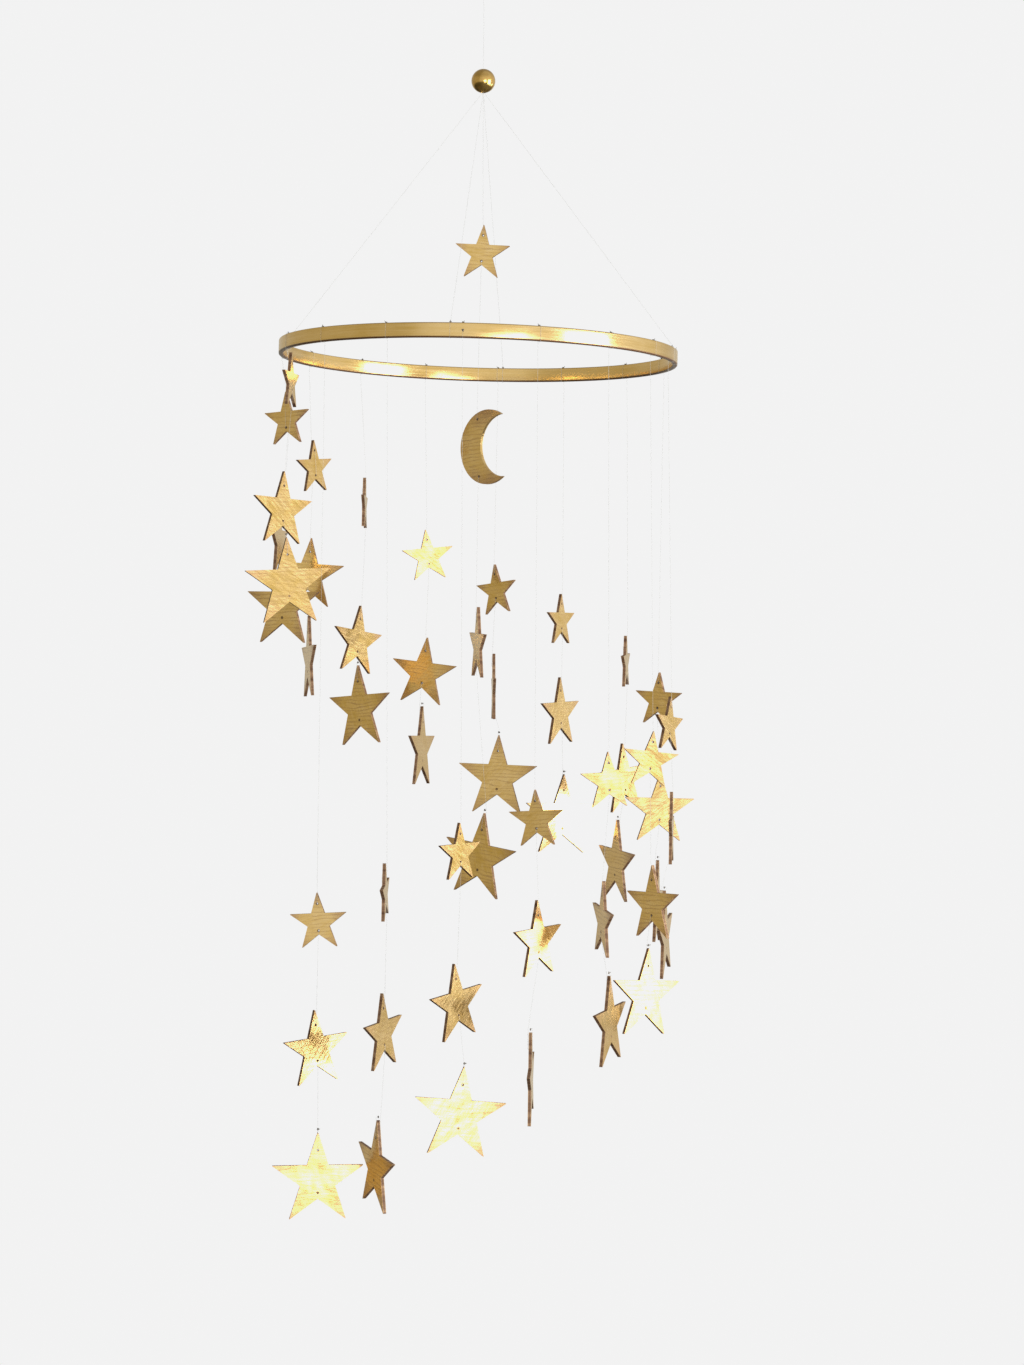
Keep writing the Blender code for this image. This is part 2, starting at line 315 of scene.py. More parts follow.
def paintedFace():
    paint = Finish("gold painted ply", IOR=1.5)
    spot = paint.attribute("plateSpot")
    share = paint.attribute("plateShare")
    seed = paint.attribute("plateSeed", 2)
    x, y, z = paint.apart(spot)
    shiftX, shiftY = goldPaint["shift"]
    shifted = paint.together(x + seed * shiftX, y + seed * shiftY, z)
    sway = paint.together(0.0, 0.0, seed * (2 * goldPaint["sway"]) - goldPaint["sway"])
    sockets = {"Vector": shifted, "Rotation": sway}
    turned = paint.node("ShaderNodeVectorRotate", {"rotation_type": "EULER_XYZ"}, sockets)
    strokes = paint.noise(paint.stretched(turned, goldPaint["strokeWaves"]), 1, 4, 0.6, 0.5)
    sockets = {
        "Vector": paint.stretched(shifted, (0.25, 1, 1)),
        "Scale": goldPaint["oneBand"] / goldPaint["grainSpacing"],
        "Distortion": 7,
        "Detail": 3,
        "Detail Scale": 1.6,
    }
    veins = paint.node("ShaderNodeTexWave", {"wave_type": "BANDS", "bands_direction": "Y"}, sockets, 1)
    fibres = paint.noise(paint.stretched(shifted, goldPaint["fibreWaves"]), 1, 3, 0.55, 0.2)
    patches = paint.noise(shifted, goldPaint["patchWaves"], 3, 0.6)
    coat = strokes * 0.35 + patches * 0.4 + fibres * 0.25 - paint.span(seed, 0.35, 1, 0, 0.09)
    deep, usual, bright = goldPaint["deep"], goldPaint["usual"], goldPaint["bright"]
    gold = paint.ramp(coat, (0.32, deep), (0.48, usual), (0.62, bright))
    vein = paint.span(veins * 0.75 + fibres * 0.5, 0.78, 0.98, 0, 0.5)
    vein = vein * paint.span(patches, 0.4, 0.6, 0.3, 1)
    gold = paint.mixed(vein, gold, (*goldPaint["vein"], 1))
    reach = paint.node("ShaderNodeVectorMath", {"operation": "LENGTH"}, {0: share}, 1)
    tips = paint.span(reach + patches * 0.5 - 0.25, 0.5, 1.05, 0, 0.75)
    gold = paint.mixed(tips, gold, (*goldPaint["bare"], 1))
    back = paint.span(z / mm, -0.95, -0.6, 1, 0)  # the backs had a thinner coat
    gold = paint.mixed(back * 0.45, gold, (*goldPaint["thin"], 1))
    across, above, below = paint.apart(paint.attribute("plateHoles"))
    fromTop = paint.reach(x - across, y - above)
    fromLow = paint.reach(x - across, y + below)
    nearest = paint.node("ShaderNodeMath", {"operation": "MINIMUM"}, {0: fromTop, 1: fromLow}) / mm
    scorch = paint.span(nearest + patches * 0.5, 0.95, 1.3, 0.8, 0)  # burnt ring round each drilled hole
    gold = paint.mixed(scorch, gold, (*goldPaint["scorch"], 1))
    dull = paint.span(strokes, 0.36, 0.64, 0.12, 0.21) + back * 0.4 + scorch * 0.3
    uneven = paint.bump(paint.noise(shifted, goldPaint["warpWaves"], 2, 0.4), goldPaint["warp"])
    grained = paint.bump(fibres, goldPaint["grainDepth"], under=uneven)
    return paint.finish(
        Base_Color=gold,
        Roughness=dull + tips * 0.14,
        Metallic=goldPaint["metal"] - vein * 0.4 - tips * 0.4 - back * 0.6 - scorch * 0.6,
        Normal=paint.bump(strokes, goldPaint["strokeDepth"], under=grained),
    )


edgeBurn = {
    "char": (0.1, 0.048, 0.026),
    "brown": (0.26, 0.15, 0.085),
    "pale": (0.46, 0.3, 0.18),
    "heart": (0.09, 0.04, 0.022),
    "gold": (0.55, 0.35, 0.12),
    "burnWaves": 300,
    "fibreWaves": 2600,
    "fibreDepth": 0.03 * mm,
}


def burntEdge():
    edge = Finish("scorched ply edge", Coat_Roughness=0.3, IOR=1.45, Specular_IOR_Level=0.2)
    spot = edge.attribute("plateSpot")
    seed = edge.attribute("plateSeed", 2)
    x, y, z = edge.apart(spot)
    layers = edge.function("ABSOLUTE", z) / mm
    heart = edge.span(layers, 0.26, 0.4, 1, 0)  # the middle veneer shows end grain and burns darker
    scorch = edge.noise(edge.together(x + seed, y + seed, z * 0.15), edgeBurn["burnWaves"], 4, 0.6)
    wood = edge.ramp(scorch, (0.3, edgeBurn["char"]), (0.5, edgeBurn["brown"]), (0.7, edgeBurn["pale"]))
    wood = edge.mixed(heart * 0.4, wood, (*edgeBurn["heart"], 1))
    rim = edge.span(layers + scorch * 0.3, 1.0, 1.12, 0, 0.85)  # gold paint that ran over the corner
    wood = edge.mixed(rim, wood, (*edgeBurn["gold"], 1))
    fibres = edge.noise(edge.together(x, y, z * 6), edgeBurn["fibreWaves"], 3)
    return edge.finish(
        Base_Color=wood,
        Roughness=edge.span(fibres, 0.3, 0.7, 0.45, 0.62),
        Metallic=rim * 0.6,
        Coat_Weight=edge.span(scorch, 0.3, 0.7, 0.02, 0.1),
        Normal=edge.bump(fibres, edgeBurn["fibreDepth"]),
    )


hoopPaint = {
    "worn": (0.34, 0.22, 0.12),
    # darker brown along the underside: painted shade, over the bare sawn edge
    "sawnAndShaded": (0.12, 0.045, 0.016),
    "metal": 0.93,
    "streakWaves": (16, 640),  # a metre, along the band and across it
    "fineWaves": (90, 1500),
    "patchWaves": 44,
    "streakDepth": 0.012 * mm,
}


def paintedHoop():
    paint = Finish("gold painted hoop", IOR=1.5)
    x, y, z = paint.apart(paint.attribute("hoopSpot"))
    reach = paint.reach(x, y)

    def brushed(along, across):
        return paint.together(x * along, y * along, z * across + reach * across)

    streaks = paint.noise(brushed(*hoopPaint["streakWaves"]), 1, 4, 0.62, 0.3)
    patches = paint.noise(paint.together(x, y, z), hoopPaint["patchWaves"], 3, 0.6)
    fine = paint.noise(brushed(*hoopPaint["fineWaves"]), 1, 3, 0.6)
    coat = streaks * 0.45 + patches * 0.35 + fine * 0.2
    deep, usual, bright = goldPaint["deep"], goldPaint["usual"], goldPaint["bright"]
    gold = paint.ramp(coat, (0.32, deep), (0.5, usual), (0.66, bright))
    low = paint.span(z / mm - streaks * 0.6, -4.1, -3.6, 0.95, 0)  # painted shade: the underside goes darker brown and duller, over the bare sawn edge that took little paint
    high = paint.span(z / mm + streaks * 0.5, 4.35, 4.7, 0, 0.7)
    gold = paint.mixed(high, gold, (*hoopPaint["worn"], 1))
    gold = paint.mixed(low, gold, (*hoopPaint["sawnAndShaded"], 1))
    dull = paint.span(streaks * 0.5 + fine * 0.5, 0.35, 0.65, 0.12, 0.24)
    return paint.finish(
        Base_Color=gold,
        Roughness=dull + low * 0.15 + high * 0.15,
        Metallic=hoopPaint["metal"] - low * 0.75 - high * 0.4,
        Normal=paint.bump(streaks * 0.7 + fine * 0.3, hoopPaint["streakDepth"]),
    )


beadLacquer = {
    "deep": (0.5, 0.29, 0.06),
    "bright": (0.7, 0.45, 0.13),
    "metal": 0.92,
    "cloudWaves": 160,
    "pitWaves": 1400,
    "pitDepth": 0.02 * mm,
}


def lacqueredBead():
    lacquer = Finish("gold lacquered bead", Coat_Roughness=0.05, IOR=1.5)
    spot = lacquer.node("ShaderNodeTexCoord", {}, {}, 3)
    cloud = lacquer.noise(spot, beadLacquer["cloudWaves"], 3, 0.5)
    pits = lacquer.noise(spot, beadLacquer["pitWaves"], 2, 0.5)
    return lacquer.finish(
        Base_Color=lacquer.ramp(cloud, (0.3, beadLacquer["deep"]), (0.7, beadLacquer["bright"])),
        Roughness=lacquer.span(pits, 0.3, 0.7, 0.12, 0.24),
        Metallic=beadLacquer["metal"] - cloud * 0.05,
        Coat_Weight=lacquer.span(cloud, 0.2, 0.8, 0.4, 0.7),
        Normal=lacquer.bump(pits, beadLacquer["pitDepth"], 0.4),
    )


nylonSkin = {"waves": 60, "fineWaves": 2400, "depth": 0.01 * mm}


def nylon(name, dark, light, clearest, densest):
    strand = Finish(name, IOR=1.53)
    spot = strand.node("ShaderNodeTexCoord", {}, {}, 3)
    wave = strand.noise(spot, nylonSkin["waves"], 3, 0.5)
    fine = strand.noise(spot, nylonSkin["fineWaves"], 2)
    return strand.finish(
        Base_Color=strand.ramp(wave, (0.3, dark), (0.7, light)),
        Roughness=strand.span(wave, 0.3, 0.7, 0.34, 0.5),
        Alpha=strand.span(wave, 0.25, 0.75, clearest, densest),
        Normal=strand.bump(fine, nylonSkin["depth"], 0.4),
    )


finishes = {
    "face": paintedFace(),
    "edge": burntEdge(),
    "hoop": paintedHoop(),
    "bead": lacqueredBead(),
    "thread": nylon("clear nylon", (0.52, 0.52, 0.5), (0.66, 0.66, 0.64), 0.1, 0.26),
    # the knots' dark grey is painted shade in the tangled clear nylon
    "knot": nylon("knotted nylon", (0.1, 0.085, 0.07), (0.3, 0.27, 0.23), 0.7, 0.95),
}
print("mobile: finishes made")

# Where everything hangs, as in the CAD model

hoop = {
    "width": 250 * mm,
    "height": 9 * mm,
    "wall": 3 * mm,
    "round": 0.8 * mm,
    "aside": -2 * mm,
    "tilt": 1.25,
    "steps": 224,
    "roundSteps": 5,
    "crease": 40,
    "drilledLine": 14,
}
plate = {
    "ply": 2 * mm,
    "small": 18.4 * mm,
    "medium": 24.5 * mm,
    "large": 29 * mm,
    "notch": math.sin(math.radians(18)) / math.sin(math.radians(54)),
    "topHole": 0.62,
    "lowHole": 0.26,
    "hole": 1.2 * mm,
    "corner": 0.16 * mm,
    "points": 5,
    "cornerSteps": 3,
    "holeSides": 14,
    "weld": 0.01 * mm,
    "seed": 11,
}
moon = {
    "outer": 23.4 * mm,
    "inner": 19.5 * mm,
    "shift": 13.6 * mm,
    "holeRise": 18 * mm,
    "holeAside": -7.8 * mm,
    "steps": 56,
    "seed": 0.37,
}
bead = {
    "width": 15 * mm,
    "bore": 3 * mm,
    "drop": 72 * mm,
    "rim": 0.35 * mm,
    "arcSteps": 40,
    "boreSteps": 8,
    "turnSteps": 64,
    "crease": 50,
}
thread = {
    "width": 0.35 * mm,
    "ring": 0.8 * mm,
    "clearance": 0.3 * mm,
    "bend": 0.75 * mm,
    "bendShare": 0.45,  # of the shorter leg, at most
    "bendSteps": 6,
    "straight": 6,  # degrees, under which a corner stays as it is
    "roundness": 2,
    "sides": 6,
    "tieRise": 1.5 * mm,
    "tieAside": 1.3,  # thread widths
    "tieSlack": 0.6,
    "tieSteps": 4,
    "outside": -150,  # degrees, before which a thread runs down outside the near band
    "inFront": ((2, "small"), (3, "small")),
}
knot = {
    "size": 0.62 * mm,
    "lobe": 0.333,
    "tail": 1.3 * mm,
    "steps": 27,
    "tailSteps": 6,
    "twist": 7.3,  # turns each knot its own way
}
hanging = {
    "loop": 16 * mm,
    "loopWidth": 8 * mm,
    "loopSteps": 24,
    "beadToHoop": 171.5 * mm,
    "threads": 4,
    "firstThread": -97,
}

# Each line's angle round the hoop, then for its small, medium and large star the drop and the shift to the
# right in millimetres, and the turn and the lean in degrees
starLines = (
    (-160, (22.5, 1.5, 80, 0), (101.5, -3, 46, -2), (146.5, 1, 22, 3)),
    (173, (41, 1.5, -34, 2), (118, -3, 83, 0), (158.5, 0, -31, -1)),
    (151.5, (68, 2, 55, 5), (137.5, -1, -13, -4), (192.5, -0.5, -78, 1.5)),
    (129, (89.5, 2, 89, -0.5), (180, -2, 52, -6.5), (224, 0, -42, 4)),
    (107, (122.5, 2, 15, 6), (200.5, -0.5, -22, -6.5), (251, -1.5, 75, -1)),
    (84.5, (145, 0, -43, 5.5), (211, -1.5, -88, 0), (270, 1.5, -18, -1.5)),
    (63.5, (165, -0.5, 60, 0.5), (226.5, -0.5, 58, 2), (295.5, 1.5, 28, -2)),
    (39.5, (193, 1.5, 81, 3.5), (269.5, 1, 48, 5.5), (324, -3.5, -68, -3.5)),
    (18.5, (217, -0.5, -36, -2.5), (287, 0.5, 15, -1.5), (348, -0.5, 81, -3)),
    (-14.5, (232, 0, 60, -5), (297, 2, 85, 1.5), (362, -1.5, 79, 7.5)),
    (-30, (253, 0, 15, -6), (340.5, 2, -52, 0.5), (395.5, -2, 42, -4)),
    (-49.5, (265, 0.5, 15, 2.5), (348, -2.5, -78, -5), (409, 2, 69, 3.5)),
    (-72.5, (287, 0.5, -24, 3.5), (358, 1.5, 54, 2.5), (439.5, -2, 87, 9.5)),
    (-93.5, (306.5, 0, 49, 2), (395, -1, 51, 7), (460, 1, 13, -5.5)),
    (-115.5, (331, 1.5, 86, 9), (414, 1, 65, 4), (493, -2.5, -66, -6)),
    (-138.5, (351, 0, -10, 3.5), (427.5, -1, 39, 4), (505.5, 0.5, 8, 0)),
)
middleLine = {
    "small": (-63, 0, -8, -3.5),
    "moon": (59, -1, -44, 2.5),
    "medium": (183, -1, -78, -2.5),
    "large": (316.5, 1, -37, -7.5),
}

beadCentre = Vector((0, 0, -bead["drop"]))
hoopCentre = beadCentre + Vector((hoop["aside"], 0, -hanging["beadToHoop"]))
hoopPlace = Matrix.Translation(hoopCentre) @ Matrix.Rotation(math.radians(hoop["tilt"]), 4, "Y")
bandRadius = (hoop["width"] - hoop["wall"]) / 2
standOff = plate["ply"] / 2 + thread["clearance"] + thread["width"] / 2


def platePlace(lineX, lineY, reading, hangAside=0.0):
    drop, aside, turn, lean = reading
    upright = Matrix.Rotation(math.radians(turn), 4, "Z") @ Matrix.Rotation(math.pi / 2, 4, "X")
    leaned = upright @ Matrix.Rotation(math.radians(lean), 4, "Z")
    spot = Vector((lineX + aside * mm, lineY, hoopCentre.z - drop * mm))
    return Matrix.Translation(spot) @ leaned @ Matrix.Translation((-hangAside, 0, 0))


def placesOnLines():
    places = {"small": [], "medium": [], "large": []}
    for number, (angle, *readings) in enumerate(starLines, 1):
        lineX = hoopCentre.x + bandRadius * math.cos(math.radians(angle))
        lineY = hoopCentre.y + bandRadius * math.sin(math.radians(angle))
        for size, reading in zip(places, readings):
            places[size].append((f"line_{number:02d}_{size}_star", platePlace(lineX, lineY, reading)))
    for size in places:
        places[size].append((f"centre_{size}_star", platePlace(0, 0, middleLine[size])))
    return places


starPlaces = placesOnLines()
moonPlace = platePlace(0, 0, middleLine["moon"], moon["holeAside"])


def addPiece(name, data, slot, *nodes):
    piece = bpy.data.objects.new(name, data)
    scene.collection.objects.link(piece)
    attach(piece, "root")
    if nodes:
        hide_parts(*nodes)
    return piece


# Geometry Nodes: a tree with named inputs, run on a cloud of places and kept as a plain mesh

class Growth(Maker):
    def __init__(self, name, **inputs):
        tree = bpy.data.node_groups.new(name, "GeometryNodeTree")
        super().__init__(tree)
        self.idents = {}
        geometry = tree.interface.new_socket("Geometry", in_out="INPUT", socket_type="NodeSocketGeometry")
        tree.interface.new_socket("Geometry", in_out="OUTPUT", socket_type="NodeSocketGeometry")
        for label, kind in inputs.items():
            socket = tree.interface.new_socket(label, in_out="INPUT", socket_type="NodeSocket" + kind)
            self.idents[label] = socket.identifier
        self.start = tree.nodes.new("NodeGroupInput")
        self.end = tree.nodes.new("NodeGroupOutput")
        self.geometry = Wire(self, self.start.outputs[geometry.name])

    def given(self, label):
        return Wire(self, self.start.outputs[label])

    def moved(self, geometry, place=None, turn=None):
        sockets = {"Geometry": geometry}
        if place is not None:
            sockets["Translation"] = place
        if turn is not None:
            sockets["Rotation"] = turn
        return self.node("GeometryNodeTransform", {}, sockets)

    def kept(self, geometry, name, kind, domain, value):
        sockets = {"Geometry": geometry, "Name": name, "Value": value}
        return self.node("GeometryNodeStoreNamedAttribute", {"data_type": kind, "domain": domain}, sockets)

    def named(self, name, kind):
        return self.node("GeometryNodeInputNamedAttribute", {"data_type": kind}, {"Name": name})

    def joined(self, *parts):
        return self.node("GeometryNodeJoinGeometry", {}, {"Geometry": list(parts)[::-1]})

    def circle(self, sides, radius):
        sockets = {"Resolution": sides, "Radius": radius}
        return self.node("GeometryNodeCurvePrimitiveCircle", {"mode": "RADIUS"}, sockets)

    def rectangle(self, width, height):
        sockets = {"Width": width, "Height": height}
        return self.node("GeometryNodeCurvePrimitiveQuadrilateral", {"mode": "RECTANGLE"}, sockets)

    def rounded(self, curve, steps, radius):
        sockets = {"Curve": curve, "Count": steps, "Radius": radius}
        return self.node("GeometryNodeFilletCurve", {"mode": "POLY"}, sockets)

    def swept(self, curve, profile, caps=False):
        sockets = {"Curve": curve, "Profile Curve": profile, "Fill Caps": caps}
        return self.node("GeometryNodeCurveToMesh", {}, sockets)

    def planted(self, shape):
        turn = self.node("FunctionNodeEulerToRotation", {}, {0: self.named("turn", "FLOAT_VECTOR")})
        sockets = {"Points": self.geometry, "Instance": shape, "Rotation": turn}
        return self.node("GeometryNodeInstanceOnPoints", {}, sockets)

    def real(self, instances):
        return self.node("GeometryNodeRealizeInstances", {}, {"Geometry": instances})

    def painted(self, geometry, label, where=True):
        sockets = {"Geometry": geometry, "Selection": where, "Material": self.given(label)}
        return self.node("GeometryNodeSetMaterial", {}, sockets)

    def ended(self, geometry):
        self.feed(self.end.inputs[0], geometry)

    def grow(self, name, places, **values):
        cloud = bpy.data.meshes.new(name + " places")
        cloud.from_pydata([place.translation for place in places], [], [])
        turns = cloud.attributes.new("turn", "FLOAT_VECTOR", "POINT")
        for item, place in zip(turns.data, places):
            item.vector = place.to_euler()
        seed = bpy.data.objects.new(name + " places", cloud)
        scene.collection.objects.link(seed)
        modifier = seed.modifiers.new(name, "NODES")
        modifier.node_group = self.tree
        for label, value in values.items():
            modifier[self.idents[label]] = value
        graph = bpy.context.evaluated_depsgraph_get()
        grown = seed.evaluated_get(graph)
        mesh = bpy.data.meshes.new_from_object(grown, preserve_all_data_layers=True, depsgraph=graph)
        mesh.name = name
        seed.modifiers.remove(modifier)
        bpy.data.objects.remove(seed)
        return mesh


def starGrowth():
    growth = Growth(
        "hung stars",
        pointReach="Float",
        notchReach="Float",
        cornerRound="Float",
        ply="Float",
        hole="Float",
        topHole="Float",
        lowHole="Float",
        hasLowHole="Bool",
        facePaint="Material",
        edgeBurn="Material",
        seed="Int",
    )
    given = growth.given
    notch, reach = given("notchReach"), given("pointReach")
    sockets = {"Points": plate["points"], "Inner Radius": notch, "Outer Radius": reach}
    outline = growth.moved(growth.node("GeometryNodeCurveStar", {}, sockets), turn=(0, 0, math.pi / 2))
    outline = growth.rounded(outline, plate["cornerSteps"], given("cornerRound"))
    ring = growth.circle(plate["holeSides"], given("hole") * 0.5)
    top = growth.moved(ring, place=growth.together(0.0, given("topHole"), 0.0))
    low = growth.moved(ring, place=growth.together(0.0, given("lowHole") * -1, 0.0))
    sockets = {"Switch": given("hasLowHole"), "True": low}
    low = growth.node("GeometryNodeSwitch", {"input_type": "GEOMETRY"}, sockets)
    sockets = {"Curve": growth.joined(outline, top, low)}
    sheet = growth.node("GeometryNodeFillCurve", {"mode": "TRIANGLES"}, sockets)
    sockets = {"Mesh": sheet, "Offset Scale": given("ply"), "Individual": False}
    raised = growth.node("GeometryNodeExtrudeMesh", {"mode": "FACES"}, sockets)
    sides = Wire(growth, raised.socket.node.outputs["Side"])
    raised = growth.kept(raised, "cutEdge", "BOOLEAN", "FACE", sides)
    under = growth.node("GeometryNodeFlipFaces", {}, {"Mesh": sheet})
    sockets = {"Geometry": growth.joined(raised, under), "Distance": plate["weld"]}
    body = growth.node("GeometryNodeMergeByDistance", {}, sockets)
    body = growth.moved(body, place=growth.together(0.0, 0.0, given("ply") * -0.5))
    position = growth.node("GeometryNodeInputPosition")
    body = growth.kept(body, "plateSpot", "FLOAT_VECTOR", "POINT", position)
    scale = growth.node("ShaderNodeMath", {"operation": "DIVIDE"}, {0: 1.0, 1: reach})
    share = growth.node("ShaderNodeVectorMath", {"operation": "SCALE"}, {0: position, "Scale": scale})
    body = growth.kept(body, "plateShare", "FLOAT_VECTOR", "POINT", share)
    holes = growth.together(0.0, given("topHole"), given("lowHole"))
    body = growth.kept(body, "plateHoles", "FLOAT_VECTOR", "POINT", holes)
    chance = growth.node("FunctionNodeRandomValue", {"data_type": "FLOAT"}, {"Seed": given("seed")}, 1)
    stars = growth.real(growth.kept(growth.planted(body), "plateSeed", "FLOAT", "INSTANCE", chance))
    stars = growth.painted(stars, "facePaint")
    growth.ended(growth.painted(stars, "edgeBurn", growth.named("cutEdge", "BOOLEAN")))
    return growth


def makeStars():
    growth = starGrowth()
    for order, size in enumerate(starPlaces):
        names = [name for name, _ in starPlaces[size]]
        reach = plate[size]
        mesh = growth.grow(
            size + "Stars",
            [place for _, place in starPlaces[size]],
            pointReach=reach,
            notchReach=reach * plate["notch"],
            cornerRound=plate["corner"],
            ply=plate["ply"],
            hole=plate["hole"],
            topHole=reach * plate["topHole"],
            lowHole=reach * plate["lowHole"],
            hasLowHole=size != "large",
            facePaint=finishes["face"],
            edgeBurn=finishes["edge"],
            seed=plate["seed"] + order,
        )
        addPiece(size + "Stars", mesh, "star_ply", *names)
        print("mobile:", size, "stars,", len(mesh.polygons), "faces")


makeStars()


def moonOutline():
    hornX = (moon["outer"] ** 2 - moon["inner"] ** 2 + moon["shift"] ** 2) / (2 * moon["shift"])
    hornY = math.sqrt(moon["outer"] ** 2 - hornX**2)
    outer, inner = math.atan2(hornY, hornX), math.atan2(hornY, hornX - moon["shift"])
    steps, points = moon["steps"], []
    for i in range(steps):
        angle = outer + (2 * math.pi - 2 * outer) * i / steps
        points.append((moon["outer"] * math.cos(angle), moon["outer"] * math.sin(angle)))
    for i in range(steps):
        angle = 2 * math.pi - inner - (2 * math.pi - 2 * inner) * i / steps
        points.append((moon["shift"] + moon["inner"] * math.cos(angle), moon["inner"] * math.sin(angle)))
    return points


def ringPoints(x, y, radius, sides):
    turns = (2 * math.pi * i / sides for i in range(sides))
    return [(x + radius * math.cos(a), y + radius * math.sin(a)) for a in turns]


def makeMoon():
    curve = bpy.data.curves.new("moon outline", "CURVE")
    curve.dimensions = "2D"
    curve.fill_mode = "BOTH"
    curve.extrude = plate["ply"] / 2
    holes = [(moon["holeAside"], side * moon["holeRise"]) for side in (1, -1)]
    loops = [moonOutline()] + [ringPoints(*hole, plate["hole"] / 2, plate["holeSides"]) for hole in holes]
    for loop in loops:
        spline = curve.splines.new("POLY")
        spline.points.add(len(loop) - 1)
        for point, (x, y) in zip(spline.points, loop):
            point.co = (x, y, 0, 1)
        spline.use_cyclic_u = True
    flat = bpy.data.objects.new("moon outline", curve)
    scene.collection.objects.link(flat)
    graph = bpy.context.evaluated_depsgraph_get()
    mesh = bpy.data.meshes.new_from_object(flat.evaluated_get(graph), depsgraph=graph)
    bpy.data.objects.remove(flat)
    mesh.name = "crescentMoon"
    mesh.materials.clear()
    mesh.materials.append(finishes["face"])
    mesh.materials.append(finishes["edge"])
    for name in ("plateSpot", "plateShare", "plateHoles"):
        mesh.attributes.new(name, "FLOAT_VECTOR", "POINT")
    mesh.attributes.new("plateSeed", "FLOAT", "POINT")
    for i, vertex in enumerate(mesh.vertices):
        mesh.attributes["plateSpot"].data[i].vector = vertex.co
        mesh.attributes["plateShare"].data[i].vector = (0, vertex.co.y / moon["outer"], 0)
        mesh.attributes["plateHoles"].data[i].vector = (moon["holeAside"], moon["holeRise"], moon["holeRise"])
        mesh.attributes["plateSeed"].data[i].value = moon["seed"]
    for face in mesh.polygons:
        inHole = any((face.center - Vector((*hole, 0))).length < plate["ply"] for hole in holes)
        onSide = abs(face.normal.z) < 0.5
        face.material_index = int(inHole and onSide)  # gold runs over the moon's outer rim
        face.use_smooth = False
    mesh.transform(moonPlace)
    addPiece("crescentMoon", mesh, "moon_ply", "moon")
    print("mobile: crescent moon")


makeMoon()


def hoopGrowth():
    growth = Growth(
        "bent hoop",
        width="Float",
        height="Float",
        wall="Float",
        edge="Float",
        hole="Float",
        steps="Int",
        paint="Material",
    )
    given = growth.given
    circle = growth.circle(given("steps"), (given("width") - given("wall")) * 0.5)
    profile = growth.rectangle(given("wall"), given("height"))
    profile = growth.rounded(profile, hoop["roundSteps"], given("edge"))
    band = growth.swept(circle, profile)
    sockets = {"Vertices": plate["holeSides"], "Radius": given("hole") * 0.5, "Depth": given("wall") * 3}
    drills = growth.real(growth.planted(growth.node("GeometryNodeMeshCylinder", {}, sockets)))
    settings = {"operation": "DIFFERENCE", "solver": "EXACT"}
    band = growth.node("GeometryNodeMeshBoolean", settings, {"Mesh 1": band, "Mesh 2": drills})
    position = growth.node("GeometryNodeInputPosition")
    band = growth.kept(band, "hoopSpot", "FLOAT_VECTOR", "POINT", position)
    growth.ended(growth.painted(growth.real(band), "paint"))
    return growth


def makeHoop():
    around = Matrix.Rotation(math.radians(starLines[hoop["drilledLine"] - 1][0]), 4, "Z")
    drill = around @ Matrix.Translation((bandRadius, 0, 0)) @ Matrix.Rotation(math.pi / 2, 4, "Y")
    mesh = hoopGrowth().grow(
        "hoopBand",
        [drill],
        width=hoop["width"],
        height=hoop["height"],
        wall=hoop["wall"],
        edge=hoop["round"],
        hole=plate["hole"],
        steps=hoop["steps"],
        paint=finishes["hoop"],
    )
    mesh.transform(hoopPlace)
    mesh.shade_smooth()
    mesh.set_sharp_from_angle(angle=math.radians(hoop["crease"]))
    addPiece("hoopBand", mesh, "hoop", "hoop")
    print("mobile: hoop,", len(mesh.polygons), "faces")


makeHoop()


def makeBead():
    radius, bore, rim = bead["width"] / 2, bead["bore"] / 2, bead["rim"]
    mouth = math.asin((bore + rim) / radius)
    arcs, steps = bead["arcSteps"], bead["boreSteps"]
    angles = [mouth + (math.pi - 2 * mouth) * i / arcs for i in range(arcs + 1)]
    profile = [(radius * math.sin(angle), radius * math.cos(angle)) for angle in angles]
    lip = radius * math.cos(mouth) - rim
    profile += [(bore, -lip + 2 * lip * i / steps) for i in range(steps + 1)]
    turns, count = bead["turnSteps"], len(profile)
    verts = []
    for i in range(turns):
        turn = 2 * math.pi * i / turns
        verts += [beadCentre + Vector((x * math.cos(turn), x * math.sin(turn), z)) for x, z in profile]
    faces = []
    for i in range(turns):
        here, there = i * count, (i + 1) % turns * count
        for j in range(count):
            k = (j + 1) % count
            faces.append((here + j, here + k, there + k, there + j))
    mesh = bpy.data.meshes.new("goldBead")
    mesh.from_pydata(verts, [], faces)
    mesh.materials.append(finishes["bead"])
    mesh.shade_smooth()
    mesh.set_sharp_from_angle(angle=math.radians(bead["crease"]))
    addPiece("goldBead", mesh, "bead", "bead")
    print("mobile: bead")


makeBead()

# Threads: every one is a curve that hangs taut

def bentRoute(corners):
    points = [corners[0]]
    for before, corner, after in zip(corners, corners[1:], corners[2:]):
        into, out = before - corner, after - corner
        if into.angle(-out) < math.radians(thread["straight"]):
            points.append(corner)
            continue
        shortest = min(into.length, out.length)
        offset = min(thread["bend"], shortest * thread["bendShare"])
        start, end = corner + into.normalized() * offset, corner + out.normalized() * offset
        for i in range(thread["bendSteps"] + 1):
            share = i / thread["bendSteps"]
            points.append(start * (1 - share) ** 2 + corner * 2 * share * (1 - share) + end * share**2)
    points.append(corners[-1])
    return points


